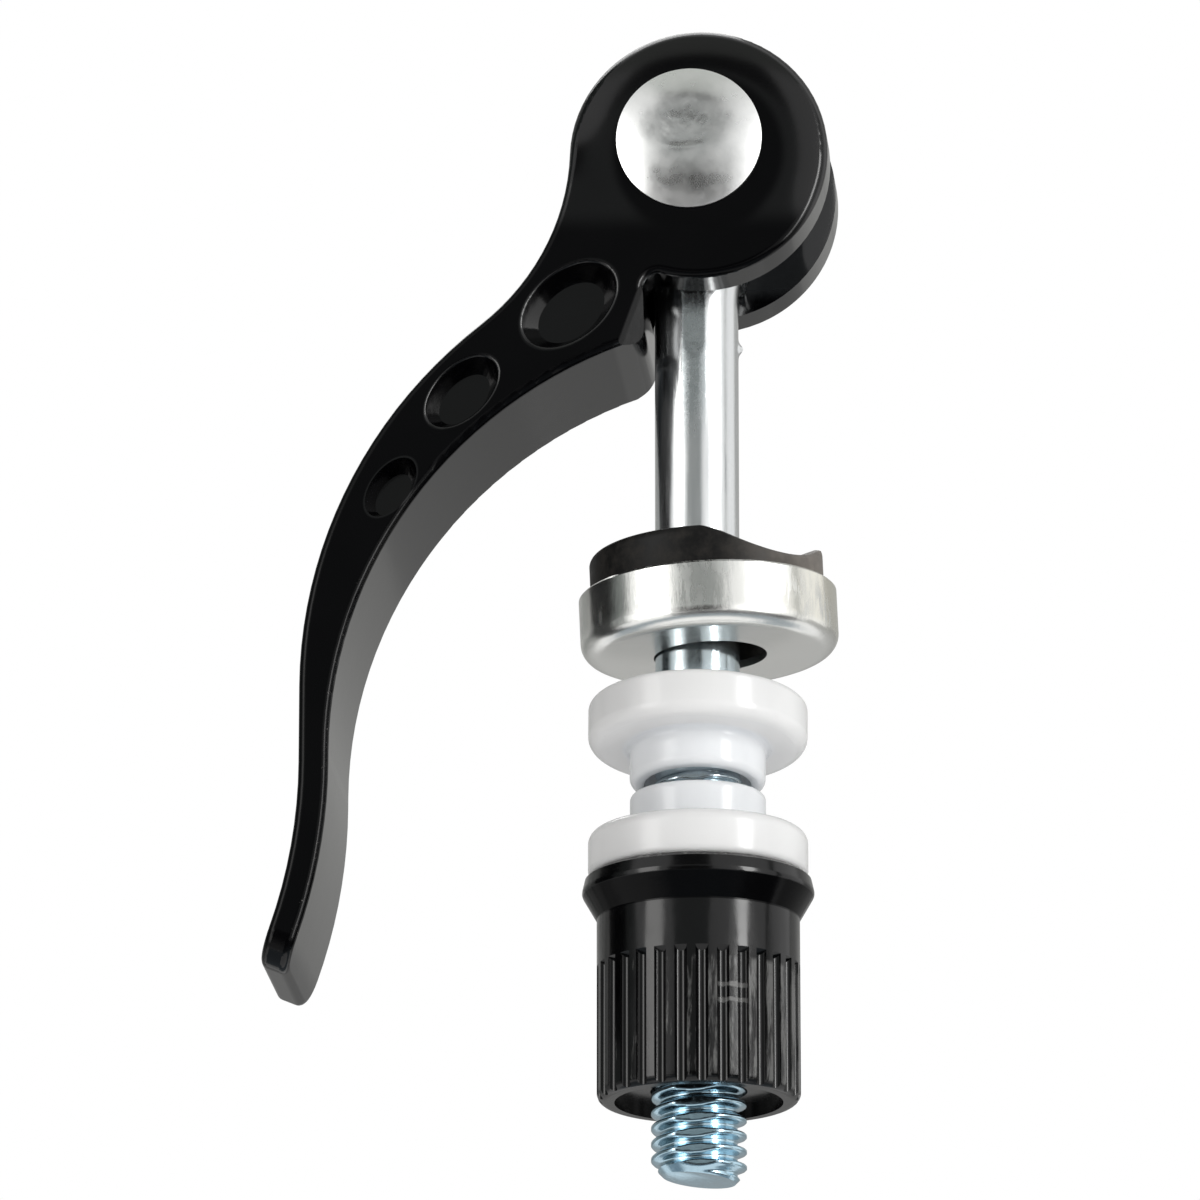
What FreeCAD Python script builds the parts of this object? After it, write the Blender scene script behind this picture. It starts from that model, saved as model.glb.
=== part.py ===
import FreeCAD, Part
import math
import os

# Quick release seatpost clamp, in millimetres and degrees. Z runs up the rod, and the pivot pin runs
# along Y. The origin is on the rod's axis, on the face where the lower bush bears on the frame's ear.

# Nylon bushes, two alike
flange_radius = 6.95
flange_thickness = 2.9
flange_inner_round = 0.8
flange_outer_round = 0.4
neck_radius = 4.3
neck_length = 2.45
neck_round = 0.45
neck_root_round = 0.4
bush_bore_clearance = 0.4
neck_gap = 0.55
upper_bush_tilt = 5.8

# Rod
shank_radius = 2.68
thread_radius = 3.0
thread_length = 26.5
thread_run_out = 0.5
rod_end_chamfer = 0.7
rod_end_reach = 5.2
eye_radius = 6.2
eye_thickness = 5.8
eye_flare_radius = 8.0
shank_flat_depth = 0.24
shank_flat_drop = 19.7
shank_flat_run_out = 0.9
pin_height = 44.1

# Pivot pin
pin_radius = 2.5
pin_head_radius = 4.65
pin_head_edge = 0.25
pin_head_height = 1.1
pin_cheek_clearance = 0.05
pin_eye_clearance = 0.1

# Lever, seen along the pin, with drops and reaches counted from the pin
lever_width = 12.6
fork_clearance = 0.2
cam_radius = 8.25
cam_offset = 1.12
cam_offset_angle = -59.0
flank_radius = 15.0
back_reach = 24.75
back_drop = 35.5
back_bend_radius = 30.0
belly_bend_inset = 2.2
belly_bend_drop = 4.3
tail_thickness = 1.9
tail_straight = 0.7
tail_bend_radius = 33.0
tail_bend_angle = 22.6
tail_corner_round = 2.2
root_round = 1.3
crotch_round = 1.0
heel_chamfer_length = 1.5
heel_chamfer_depth = 1.6
heel_chamfer_start = 0.1
lever_edge_round = 0.5
stop_gap = 0.32
eye_clearance = 0.3
flare_relief = 1.0
flare_relief_drop = 10.0

# Blind pockets in the lever's sides, set out about the centre of the back's bend
pocket_insets = (2.2, 2.6, 2.6)
pocket_angles = (117.7, 136.1, 152.2)
pocket_tilts = (41.0, 46.0, 54.0)
pocket_lengths = (7.0, 5.7, 4.4)
pocket_widths = (4.5, 3.3, 2.5)
pocket_depth = 1.8
pocket_floor_share = 0.7
pocket_rim_round = 0.2

# Cup and saddle, which lean a little on the loose rod
cup_gap = 3.2
cup_radius = 8.2
cup_height = 4.05
cup_wall = 0.5
cup_edge_radius = 1.1
cup_rim_chamfer = 0.15
cup_hole_clearance = 0.6
cup_lean = 2.5
cup_shift = 0.82
saddle_fit = 0.27
saddle_floor_gap = 0.05
saddle_height = 6.1
saddle_top_round = 0.5
saddle_foot_chamfer = 0.8
saddle_bore_clearance = 0.7
groove_depth = 1.58
groove_clearance = 0.05
groove_turn = 46.5
saddle_edge_chamfer = 0.2

# Adjusting nut
nut_seat_gap = 0.05
nut_length = 14.5
nut_rim_radius = 7.1
nut_collar_radius = 7.35
nut_rim_height = 1.1
nut_cone_height = 1.65
nut_body_radius = 6.4
nut_plain_height = 3.0
nut_end_round = 0.6
nut_recess_radius = 5.3
nut_recess_depth = 0.7
nut_rim_chamfer = 0.25
nut_collar_round = 0.4
nut_thread_clearance = 0.05
flute_count = 30
flute_radius = 0.4
flute_depth = 0.35

# How far a cutter runs past what it cuts, how near two points count as one, and what counts as sharp
overrun = 20.0
same_place = 1e-4
sharp_angle = 20.0

# Sizes and heights that follow
fork_width = max(eye_thickness, 2 * shank_radius) + 2 * fork_clearance
stop_x = -(shank_radius + stop_gap)
cup_hole_radius = thread_radius + cup_hole_clearance
saddle_bore_radius = thread_radius + saddle_bore_clearance
upper_ear_face = 2 * neck_length + neck_gap
cup_floor = upper_ear_face + flange_thickness + cup_gap
nut_top = -flange_thickness - nut_seat_gap
nut_bottom = nut_top - nut_length
rod_end = nut_bottom - rod_end_reach

UP = FreeCAD.Vector(0, 0, 1)
ALONG_PIN = FreeCAD.Vector(0, 1, 0)
ACROSS = FreeCAD.Vector(1, 0, 0)
ORIGIN = FreeCAD.Vector(0, 0, 0)


def flat(x, z):
    """A point of an outline in the XZ plane."""
    return FreeCAD.Vector(x, 0, z)


def polar(centre, radius, degrees):
    """The point at an angle on a circle in the XZ plane, counted from +X towards +Z."""
    angle = math.radians(degrees)
    return centre + flat(radius * math.cos(angle), radius * math.sin(angle))


def bearing(centre, point):
    """The angle of a point about a centre in the XZ plane, from 0 to 360."""
    return math.degrees(math.atan2(point.z - centre.z, point.x - centre.x)) % 360


def line(start, end):
    return Part.LineSegment(start, end).toShape()


def arc(centre, start, end):
    """The shorter arc about a centre from one point to another."""
    turn = (bearing(centre, end) - bearing(centre, start) + 180) % 360 - 180
    middle = polar(centre, (start - centre).Length, bearing(centre, start) + turn / 2)
    return Part.Arc(start, middle, end).toShape()


def solid_of_turn(edges):
    """Turns a closed outline in the XZ plane once about Z."""
    return Part.Face(Part.Wire(edges)).revolve(ORIGIN, UP, 360)


def polygon(points):
    return [line(a, b) for a, b in zip(points, points[1:] + points[:1])]


def circles_at(shape, radius, height):
    """The round edges of a turned solid that have this radius and height."""
    found = []
    for edge in shape.Edges:
        if not isinstance(edge.Curve, Part.Circle):
            continue
        off_radius = abs(edge.Curve.Radius - radius)
        off_height = abs(edge.Curve.Center.z - height)
        if off_radius < same_place and off_height < same_place:
            found.append(edge)
    return found


def hole_along_pin(radius, height):
    """A round cutter along Y, longer than anything it cuts."""
    reach = lever_width + 2 * cup_radius + overrun
    start = FreeCAD.Vector(0, -reach, height)
    return Part.makeCylinder(radius, 2 * reach, start, ALONG_PIN)


def bush():
    """A flanged bush with its ear face at the origin and its neck up."""
    bore = thread_radius + bush_bore_clearance
    flange = Part.makeCylinder(flange_radius, flange_thickness, flat(0, -flange_thickness))
    body = flange.fuse(Part.makeCylinder(neck_radius, neck_length)).removeSplitter()
    body = body.makeFillet(flange_inner_round, circles_at(body, flange_radius, 0))
    body = body.makeFillet(flange_outer_round, circles_at(body, flange_radius, -flange_thickness))
    body = body.makeFillet(neck_round, circles_at(body, neck_radius, neck_length))
    body = body.makeFillet(neck_root_round, circles_at(body, neck_radius, 0))
    return body.cut(Part.makeCylinder(bore, flange_thickness + neck_length, flat(0, -flange_thickness)))


def upper_bushing():
    """The other bush, neck down, tipped on the loose rod as far as its wide bore lets it."""
    shape = bush()
    shape.rotate(ORIGIN, ACROSS, 180 - upper_bush_tilt)
    shape.translate(flat(0, upper_ear_face))
    return shape


def rod_stem():
    """The turned stem: chamfered end, thread at its full size, run-out and plain shank."""
    thread_top = rod_end + thread_length
    return solid_of_turn(polygon([
        flat(0, rod_end),
        flat(thread_radius - rod_end_chamfer, rod_end),
        flat(thread_radius, rod_end + rod_end_chamfer),
        flat(thread_radius, thread_top),
        flat(shank_radius, thread_top + thread_run_out),
        flat(shank_radius, pin_height),
        flat(0, pin_height),
    ]))


def eye_blank():
    """The flattened eye, which flares out of the shank on both sides."""
    pin = flat(0, pin_height)
    flare_x = shank_radius + eye_flare_radius
    flare_drop = math.sqrt((eye_radius + eye_flare_radius) ** 2 - flare_x ** 2)
    right = flat(flare_x, pin_height - flare_drop)
    left = flat(-flare_x, pin_height - flare_drop)
    right_foot = right - flat(eye_flare_radius, 0)
    left_foot = left + flat(eye_flare_radius, 0)
    right_top = polar(pin, eye_radius, bearing(pin, right))
    left_top = polar(pin, eye_radius, bearing(pin, left))
    crown = polar(pin, eye_radius, 90)
    plate = Part.Face(Part.Wire([
        line(left_foot, right_foot),
        arc(right, right_foot, right_top),
        Part.Arc(right_top, crown, left_top).toShape(),
        arc(left, left_top, left_foot),
    ]))
    plate.translate(-ALONG_PIN * (eye_thickness / 2))
    plate = plate.extrude(ALONG_PIN * eye_thickness)
    # a cone trims the plate's corners so that it grows out of the round shank
    foot_z = right_foot.z
    cone = solid_of_turn(polygon([
        flat(0, foot_z),
        flat(shank_radius, foot_z),
        flat(eye_radius + eye_thickness, foot_z + eye_radius),
        flat(eye_radius + eye_thickness, pin_height + 2 * eye_radius),
        flat(0, pin_height + 2 * eye_radius),
    ]))
    return plate.common(cone)


def shank_flat(side):
    """The wedge that leaves a forged flat on one side of the upper shank."""
    face = side * (shank_radius - shank_flat_depth)
    outer = side * 2 * shank_radius
    low = pin_height - shank_flat_drop
    high = pin_height - eye_radius
    profile = [
        FreeCAD.Vector(-2 * shank_radius, face, low + shank_flat_run_out),
        FreeCAD.Vector(-2 * shank_radius, face, high),
        FreeCAD.Vector(-2 * shank_radius, outer, high),
        FreeCAD.Vector(-2 * shank_radius, outer, low),
        FreeCAD.Vector(-2 * shank_radius, side * shank_radius, low),
    ]
    return Part.Face(Part.Wire(polygon(profile))).extrude(ACROSS * 4 * shank_radius)


def skewer_rod():
    stem = rod_stem().cut([shank_flat(-1), shank_flat(1)])
    shape = stem.fuse(eye_blank()).removeSplitter()
    return shape.cut(hole_along_pin(pin_radius + pin_eye_clearance, pin_height))


def pivot_pin():
    """The rivet, turned about its own axis and then laid along Y."""
    half = lever_width / 2
    top = half + pin_head_height
    edge = half + pin_head_edge
    rise = pin_head_height - pin_head_edge
    dome_radius = (pin_head_radius ** 2 + rise ** 2) / (2 * rise)
    shape = solid_of_turn([
        line(flat(0, -top), flat(0, top)),
        arc(flat(0, top - dome_radius), flat(0, top), flat(pin_head_radius, edge)),
        line(flat(pin_head_radius, edge), flat(pin_head_radius, half)),
        line(flat(pin_head_radius, half), flat(pin_radius, half)),
        line(flat(pin_radius, half), flat(pin_radius, -half)),
        line(flat(pin_radius, -half), flat(pin_head_radius, -half)),
        line(flat(pin_head_radius, -half), flat(pin_head_radius, -edge)),
        arc(flat(0, dome_radius - top), flat(pin_head_radius, -edge), flat(0, -top)),
    ])
    shape.rotate(ORIGIN, ACROSS, 90)
    shape.translate(flat(0, pin_height))
    return shape


def back_bend_centre():
    return flat(back_bend_radius - back_reach, -back_drop)


def flank_centre(cam):
    """The centre of the hollow flank, which touches both the cam and the back's bend."""
    back = back_bend_centre()
    span = (back - cam).Length
    reach_cam = cam_radius + flank_radius
    reach_back = back_bend_radius + flank_radius
    along = (reach_cam ** 2 - reach_back ** 2 + span ** 2) / (2 * span)
    across = math.sqrt(reach_cam ** 2 - along ** 2)
    direction = (back - cam) / span
    left = flat(direction.z, -direction.x)
    return cam + direction * along + left * across


def lever_outline():
    """The lever's side view with the pin at the origin, in order round its edge."""
    cam = polar(ORIGIN, cam_offset, cam_offset_angle)
    back = back_bend_centre()
    flank = flank_centre(cam)

    flank_on_cam = polar(cam, cam_radius, bearing(cam, flank))
    flank_on_back = polar(back, back_bend_radius, bearing(back, flank))
    crotch = flat(stop_x, cam.z - math.sqrt(cam_radius ** 2 - (stop_x - cam.x) ** 2))

    belly_radius = back_bend_radius - belly_bend_inset
    belly_reach = back_reach - tail_thickness
    belly = flat(belly_radius - belly_reach, -back_drop - belly_bend_drop)
    root = flat(stop_x, belly.z + math.sqrt(belly_radius ** 2 - (stop_x - belly.x) ** 2))

    tail_top = belly.z - tail_straight
    tail = flat(-back_reach - tail_bend_radius, tail_top)
    back_end = flat(-back_reach, -back_drop)
    belly_end = flat(-belly_reach, belly.z)
    back_tail = flat(-back_reach, tail_top)
    belly_tail = flat(-belly_reach, tail_top)
    tip_back = polar(tail, tail_bend_radius, -tail_bend_angle)
    tip_belly = polar(tail, tail_bend_radius + tail_thickness, -tail_bend_angle)

    return [
        Part.Arc(flank_on_cam, polar(cam, cam_radius, 45), crotch).toShape(),
        line(crotch, root),
        arc(belly, root, belly_end),
        line(belly_end, belly_tail),
        arc(tail, belly_tail, tip_belly),
        line(tip_belly, tip_back),
        arc(tail, tip_back, back_tail),
        line(back_tail, back_end),
        arc(back, back_end, flank_on_back),
        arc(flank, flank_on_back, flank_on_cam),
    ], crotch, root, tip_back


def pocket(index, side):
    """One tapering oval pocket, sunk into one side of the lever."""
    reach = back_bend_radius - pocket_insets[index]
    centre = polar(back_bend_centre(), reach, pocket_angles[index])
    tilt = math.radians(pocket_tilts[index])
    long_axis = flat(math.cos(tilt), math.sin(tilt))
    normal = ALONG_PIN * side
    sections = []
    for share, depth in ((1.0, 0.0), (pocket_floor_share, pocket_depth)):
        middle = centre + normal * (lever_width / 2 - depth)
        half_long = share * pocket_lengths[index] / 2
        half_short = share * pocket_widths[index] / 2
        oval = Part.Ellipse(ORIGIN, half_long, half_short)
        edge = oval.toShape()
        frame = FreeCAD.Rotation(long_axis, FreeCAD.Vector(), normal, "ZXY")
        edge.Placement = FreeCAD.Placement(middle, frame)
        sections.append(Part.Wire([edge]))
    return Part.makeLoft(sections, True, True)


def heel_chamfer(side, crotch, root):
    """The wedge that eases one side's corner where the heel faces the shank, more towards the belly."""
    edge = side * lever_width / 2
    high = crotch.z - crotch_round
    low = 2 * root.z - high
    sections = []
    for share, height in ((heel_chamfer_start, high), (2 - heel_chamfer_start, low)):
        sections.append(Part.Wire(polygon([
            FreeCAD.Vector(crotch.x, edge, height),
            FreeCAD.Vector(crotch.x - share * heel_chamfer_length, edge, height),
            FreeCAD.Vector(crotch.x, edge - side * share * heel_chamfer_depth, height),
        ])))
    return Part.makeLoft(sections, True, True)


def tail_corner(side, tip):
    """What a round corner takes off one side of the tail's end."""
    inset = lever_width / 2 - tail_corner_round
    reach = tail_corner_round + overrun
    corner = FreeCAD.Vector(-tail_corner_round, inset, -overrun)
    block = Part.makeBox(reach, reach, 2 * overrun, corner)
    cutter = block.cut(Part.makeCylinder(tail_corner_round, 2 * overrun, corner))
    if side < 0:
        cutter = cutter.mirror(ORIGIN, ALONG_PIN)
    cutter.rotate(ORIGIN, ALONG_PIN, 90 + tail_bend_angle)
    cutter.translate(tip)
    return cutter


def fork():
    """The space between the cheeks: room for the eye, and for the shank as the lever swings over."""
    reach = cam_radius + overrun
    start = FreeCAD.Vector(stop_x, -fork_width / 2, -reach)
    slab = Part.makeBox(reach, fork_width, 2 * reach, start)
    relief_start = FreeCAD.Vector(stop_x - flare_relief, -fork_width / 2, -flare_relief_drop)
    relief = Part.makeBox(reach, fork_width, 2 * flare_relief_drop, relief_start)
    cheek = FreeCAD.Vector(0, -fork_width / 2, 0)
    eye_room = Part.makeCylinder(eye_radius + eye_clearance, fork_width, cheek, ALONG_PIN)
    return slab.fuse([relief, eye_room])


def edges_across(shape, corner):
    """The edges along Y that pass through a corner of the outline."""
    found = []
    for edge in shape.Edges:
        if all(flat(v.X - corner.x, v.Z - corner.z).Length < same_place for v in edge.Vertexes):
            found.append(edge)
    return found


def sharp_edges(shape):
    """The edges where two faces meet at a clear angle."""
    found = []
    for edge in shape.Edges:
        middle = edge.valueAt((edge.FirstParameter + edge.LastParameter) / 2)
        faces = shape.ancestorsOfType(edge, Part.Face)
        normals = [face.normalAt(*face.Surface.parameter(middle)) for face in faces]
        if len(normals) == 2 and math.degrees(normals[0].getAngle(normals[1])) > sharp_angle:
            found.append(edge)
    return found


def pocket_rims(shape):
    """The ovals where the pockets open on the lever's sides."""
    side = lever_width / 2
    level = [edge for edge in shape.Edges if abs(abs(edge.CenterOfMass.y) - side) < same_place]
    return [edge for edge in level if edge.isClosed() and not isinstance(edge.Curve, Part.Circle)]


def lever():
    edges, crotch, root, tip = lever_outline()
    plan = Part.Face(Part.Wire(edges))
    plan.translate(-ALONG_PIN * (lever_width / 2))
    blank = plan.extrude(ALONG_PIN * lever_width)
    for corner, radius in ((crotch, crotch_round), (root, root_round)):
        blank = blank.makeFillet(radius, edges_across(blank, corner))
    blank = blank.cut([tail_corner(side, tip) for side in (-1, 1)])
    blank = blank.makeFillet(lever_edge_round, sharp_edges(blank))

    pin_hole = hole_along_pin(pin_radius + pin_cheek_clearance, 0)
    pockets = [pocket(index, side) for index in range(len(pocket_angles)) for side in (-1, 1)]
    chamfers = [heel_chamfer(side, crotch, root) for side in (-1, 1)]
    shape = blank.cut([fork(), pin_hole] + pockets + chamfers)
    shape = shape.makeFillet(pocket_rim_round, pocket_rims(shape))
    shape.translate(flat(0, pin_height))
    return shape


def lean(shape):
    """Sets a piece of the cup's stack down at its height, leaning and shifted on the rod."""
    shape.rotate(ORIGIN, ALONG_PIN, -cup_lean)
    shape.translate(flat(cup_shift, cup_floor))
    return shape


def cup_washer():
    """A pressed cup with a round lower edge and a hole for the rod."""
    inner = cup_radius - cup_wall
    bend = cup_radius - cup_edge_radius
    centre = flat(bend, cup_edge_radius)
    shape = solid_of_turn([
        line(flat(cup_hole_radius, 0), flat(bend, 0)),
        arc(centre, flat(bend, 0), flat(cup_radius, cup_edge_radius)),
        line(flat(cup_radius, cup_edge_radius), flat(cup_radius, cup_height)),
        line(flat(cup_radius, cup_height), flat(inner, cup_height)),
        line(flat(inner, cup_height), flat(inner, cup_edge_radius)),
        arc(centre, flat(inner, cup_edge_radius), flat(bend, cup_wall)),
        line(flat(bend, cup_wall), flat(cup_hole_radius, cup_wall)),
        line(flat(cup_hole_radius, cup_wall), flat(cup_hole_radius, 0)),
    ])
    rim = circles_at(shape, cup_radius, cup_height) + circles_at(shape, inner, cup_height)
    shape = shape.makeChamfer(cup_rim_chamfer, rim)
    return lean(shape)


def cam_saddle():
    """The disc in the cup, with a groove of the cam's own radius across its top."""
    radius = cup_radius - cup_wall - saddle_fit
    shape = solid_of_turn(polygon([
        flat(saddle_bore_radius, 0),
        flat(radius - saddle_foot_chamfer, 0),
        flat(radius, saddle_foot_chamfer),
        flat(radius, saddle_height),
        flat(saddle_bore_radius, saddle_height),
    ]))
    shape = shape.makeFillet(saddle_top_round, circles_at(shape, radius, saddle_height))
    groove_radius = cam_radius + groove_clearance
    groove_axis = saddle_height - groove_depth + groove_radius
    shape = shape.cut(hole_along_pin(groove_radius, groove_axis))
    top_edges = [edge for edge in sharp_edges(shape) if edge.BoundBox.ZMin > saddle_height / 2]
    shape = shape.makeChamfer(saddle_edge_chamfer, top_edges)
    shape.rotate(ORIGIN, UP, groove_turn)
    shape.translate(flat(0, cup_wall + saddle_floor_gap))
    return lean(shape)


def nut_blank():
    """The turned nut: rim, flared collar, cone, straight body, rounded end and a shallow recess."""
    bore = thread_radius + nut_thread_clearance
    collar_z = nut_top - nut_rim_height
    recess_z = nut_bottom + nut_recess_depth
    cone_end = collar_z - nut_cone_height
    bend = flat(nut_body_radius - nut_end_round, nut_bottom + nut_end_round)
    shape = solid_of_turn([
        line(flat(bore, nut_top), flat(nut_rim_radius, nut_top)),
        line(flat(nut_rim_radius, nut_top), flat(nut_collar_radius, collar_z)),
        line(flat(nut_collar_radius, collar_z), flat(nut_body_radius, cone_end)),
        line(flat(nut_body_radius, cone_end), flat(nut_body_radius, bend.z)),
        arc(bend, flat(nut_body_radius, bend.z), flat(bend.x, nut_bottom)),
        line(flat(bend.x, nut_bottom), flat(nut_recess_radius, nut_bottom)),
        line(flat(nut_recess_radius, nut_bottom), flat(nut_recess_radius, recess_z)),
        line(flat(nut_recess_radius, recess_z), flat(bore, recess_z)),
        line(flat(bore, recess_z), flat(bore, nut_top)),
    ])
    shape = shape.makeFillet(nut_collar_round, circles_at(shape, nut_collar_radius, collar_z))
    return shape.makeChamfer(nut_rim_chamfer, circles_at(shape, nut_rim_radius, nut_top))


def flute(angle):
    """One flute down the side of the grip. It runs out on a slope, which rounds its upper end."""
    top = nut_top - nut_rim_height - nut_cone_height - nut_plain_height - flute_radius
    foot = nut_bottom - overrun
    centre = nut_body_radius - flute_depth + flute_radius
    inner = centre - flute_radius
    outer = centre + flute_radius
    slope_top = top + 2 * flute_radius
    plan = Part.Face(Part.Wire(polygon([
        flat(inner, foot),
        flat(outer, foot),
        flat(outer, slope_top),
        flat(inner, top),
    ])))
    plan.translate(-ALONG_PIN * flute_radius)
    sloped = plan.extrude(ALONG_PIN * 2 * flute_radius)
    cutter = sloped.common(Part.makeCylinder(flute_radius, slope_top - foot, flat(centre, foot)))
    cutter.rotate(ORIGIN, UP, angle)
    return cutter


def adjusting_nut():
    return nut_blank().cut([flute(360 * i / flute_count) for i in range(flute_count)])


PIECES = {
    "lever": lever,
    "pivot_pin": pivot_pin,
    "skewer_rod": skewer_rod,
    "cam_saddle": cam_saddle,
    "cup_washer": cup_washer,
    "upper_bushing": upper_bushing,
    "lower_bushing": bush,
    "adjusting_nut": adjusting_nut,
}

os.makedirs("parts", exist_ok=True)
for name, make in PIECES.items():
    make().exportStep(f"parts/{name}.step")
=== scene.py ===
import math

import bmesh
import bpy
from mathutils import Matrix, Vector, noise


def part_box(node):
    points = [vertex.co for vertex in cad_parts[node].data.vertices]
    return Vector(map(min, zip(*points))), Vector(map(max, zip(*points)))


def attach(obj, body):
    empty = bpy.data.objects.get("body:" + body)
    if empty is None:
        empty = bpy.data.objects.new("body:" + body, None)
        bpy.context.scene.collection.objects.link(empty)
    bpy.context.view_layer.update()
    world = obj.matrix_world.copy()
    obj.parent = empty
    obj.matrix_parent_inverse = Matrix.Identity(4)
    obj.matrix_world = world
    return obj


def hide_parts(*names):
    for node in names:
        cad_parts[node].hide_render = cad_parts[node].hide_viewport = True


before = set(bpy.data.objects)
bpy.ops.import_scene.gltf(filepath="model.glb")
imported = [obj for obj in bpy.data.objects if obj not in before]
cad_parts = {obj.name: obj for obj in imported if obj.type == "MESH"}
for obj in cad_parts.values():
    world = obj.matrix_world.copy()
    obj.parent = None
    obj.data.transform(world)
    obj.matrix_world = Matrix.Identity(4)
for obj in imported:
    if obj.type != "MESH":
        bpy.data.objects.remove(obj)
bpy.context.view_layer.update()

MM = 0.001

# The photograph's camera, in degrees, metres and pixels
VIEW_AZIMUTH = 4.65
VIEW_ELEVATION = -15.9
VIEW_DISTANCE = 0.6
IMAGE_PIXELS = 1200
FOCAL_PIXELS = 9450
AIM_POINT = Vector((0, 0, 12.65 * MM))
AIM_PIXEL = (697.5, 640.0)
SENSOR_WIDTH = 36.0
CLIP_START = 0.01

# Studio, in metres: light panels and dark flags stand on a sphere about the object
STUDIO_CENTRE = Vector((0, 0, 15 * MM))
FLAG_RADIUS = 0.55
LOW_FLAG_RADIUS = 0.27
FLAG_STEPS = 12
PANEL_RADIUS = 0.5
FLOOR_HEIGHT = -0.25
FLOOR_SIZE = 6.0
AMBIENT = 0.31

# The backdrop's share of the floor near the object, and the reaches in millimetres where it grows to all
BACKDROP_SHARE = 0.75
BACKDROP_REACH = (250, 1400)

# Lamps: azimuth and elevation from the camera, width, height, power in watts and colour
PANELS = {
    "panel_left": (-51, 3, 0.18, 0.42, 0.85, (1.0, 0.99, 0.97)),
    "panel_right": (50, 5, 0.13, 0.42, 1.75, (1.0, 1.0, 0.99)),
    "panel_back": (195, 55, 0.30, 0.30, 0.9, (1.0, 1.0, 1.0)),
}

# Cards: azimuths and elevations from the camera, radius and shade
FLAGS = {
    "flag_chin": ((-30, 13), (-22, 6), FLAG_RADIUS, (0.045, 0.044, 0.043)),
    "flag_front": ((-30, 13), (6, 30), FLAG_RADIUS, (0.33, 0.345, 0.34)),
    "flag_brow": ((-30, 13), (30, 46), FLAG_RADIUS, (0.06, 0.06, 0.06)),
    "flag_low": ((-35, 95), (-43, -24), LOW_FLAG_RADIUS, (0.07, 0.07, 0.072)),
    "flag_under": ((-180, 180), (-62, -43), LOW_FLAG_RADIUS, (0.26, 0.30, 0.33)),
    "flag_high": ((-70, 60), (46, 80), FLAG_RADIUS, (0.55, 0.57, 0.54)),
    "flag_left": ((-158, -77), (-24, 60), FLAG_RADIUS, (0.15, 0.165, 0.16)),
    "flag_edge": ((82, 88), (-24, 40), FLAG_RADIUS, (0.20, 0.21, 0.20)),
    "flag_back_floor": ((100, 270), (-27, -10), FLAG_RADIUS, (0.38, 0.38, 0.375)),
    "flag_back_low": ((125, 240), (-10, 4), FLAG_RADIUS, (0.34, 0.34, 0.335)),
    "flag_back_high": ((125, 240), (4, 60), FLAG_RADIUS, (0.45, 0.45, 0.44)),
}

# Meshes: the crease angle in degrees, and the distances in metres that count as none
SHARP_ANGLE = 30
TINY = 1e-7
LEVEL = 1e-6

# Rod, in metres
PITCH = 1.0 * MM
THREAD_RADIUS = 3.0 * MM
THREAD_ROOT = 2.42 * MM
SHANK_RADIUS = 2.68 * MM
THREAD_LENGTH = 26.5 * MM
THREAD_FADE = 1.3 * MM
THREAD_TROUGH = 0.18
THREAD_FLANK = 0.64
END_CHAMFER = 0.7 * MM
END_SLANT = 0.5 * MM
FLAT_DEPTH = 0.09 * MM
FLAT_LOW = 30.4 * MM
FLAT_RUN_OUT = 1.3 * MM
FLAT_LEAST_SINE = 0.5
SHANK_TOP = 36.4 * MM
EYE_FOOT = 34.7 * MM
EYE_FLARE = 8.0 * MM
EYE_HALF = 2.9 * MM
BURR_PLACE = 31.9 * MM
BURR_HEIGHT = 0.3 * MM
BURR_REACH = 0.35 * MM
BURR_SPREAD = 0.04
ROWS_PER_TURN = 12
ROD_COLUMNS = 96

# Rivet, in metres, with the press mark placed on the head from its centre
PIN_RADIUS = 2.5 * MM
PIN_HEAD_HEIGHT = 1.1 * MM
PIN_HEAD_EDGE = 0.25 * MM
RIVET_RINGS = 64
RIVET_SEGMENTS = 160
MARK_CENTRE = Vector((-0.2 * MM, 0.75 * MM))
MARK_REACH = Vector((2.3 * MM, 1.65 * MM))
MARK_DEPTH = 0.16 * MM
MARK_DISH = 0.8
PIT_SIZE = 0.5 * MM
PIT_SHARE = 0.07
PIT_FADE = 0.9
PIT_FINER = 2.0
PIT_LAYERS = 4
SWELL_SIZE = 2.4 * MM
SWELL_SHARE = 0.3
SIDE_STEP = 5 * MM
LIP_PLACE = Vector((-0.35 * MM, -0.85 * MM))
LIP_REACH = 1.15 * MM
LIP_HEIGHT = 0.04 * MM
LIP_BEND = 0.12 * MM
LIP_WIDTH = 0.22 * MM

# Places on the lever that its paint follows, in millimetres of the rod's frame
HEAD_CENTRE = (0.58, 43.14)
HEAD_FLAT = 5.2
HEAD_RADIUS = 8.25
HEAD_FALL = 0.075
HEAD_SLANT = 0.35
BACK_CENTRE = (5.25, 8.6)
BACK_RADIUS = 30.0
BELLY_CENTRE = (4.95, 4.3)
BELLY_RADIUS = 27.8
TAIL_CENTRE = (-57.75, 3.6)
TAIL_RADIUS = 34.9
SIDE = 6.3

# Pockets: inset from the back, angle round the back's centre, tilt, length and width
POCKETS = (
    (2.2, 117.7, 41.0, 7.0, 4.5),
    (2.6, 136.1, 46.0, 5.7, 3.3),
    (2.6, 152.2, 54.0, 4.4, 2.5),
)

# A pocket's rim as a band, in shares of the oval: its middle, half width and soft edge
POCKET_RIM = (0.98, 0.05, 0.06)

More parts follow.
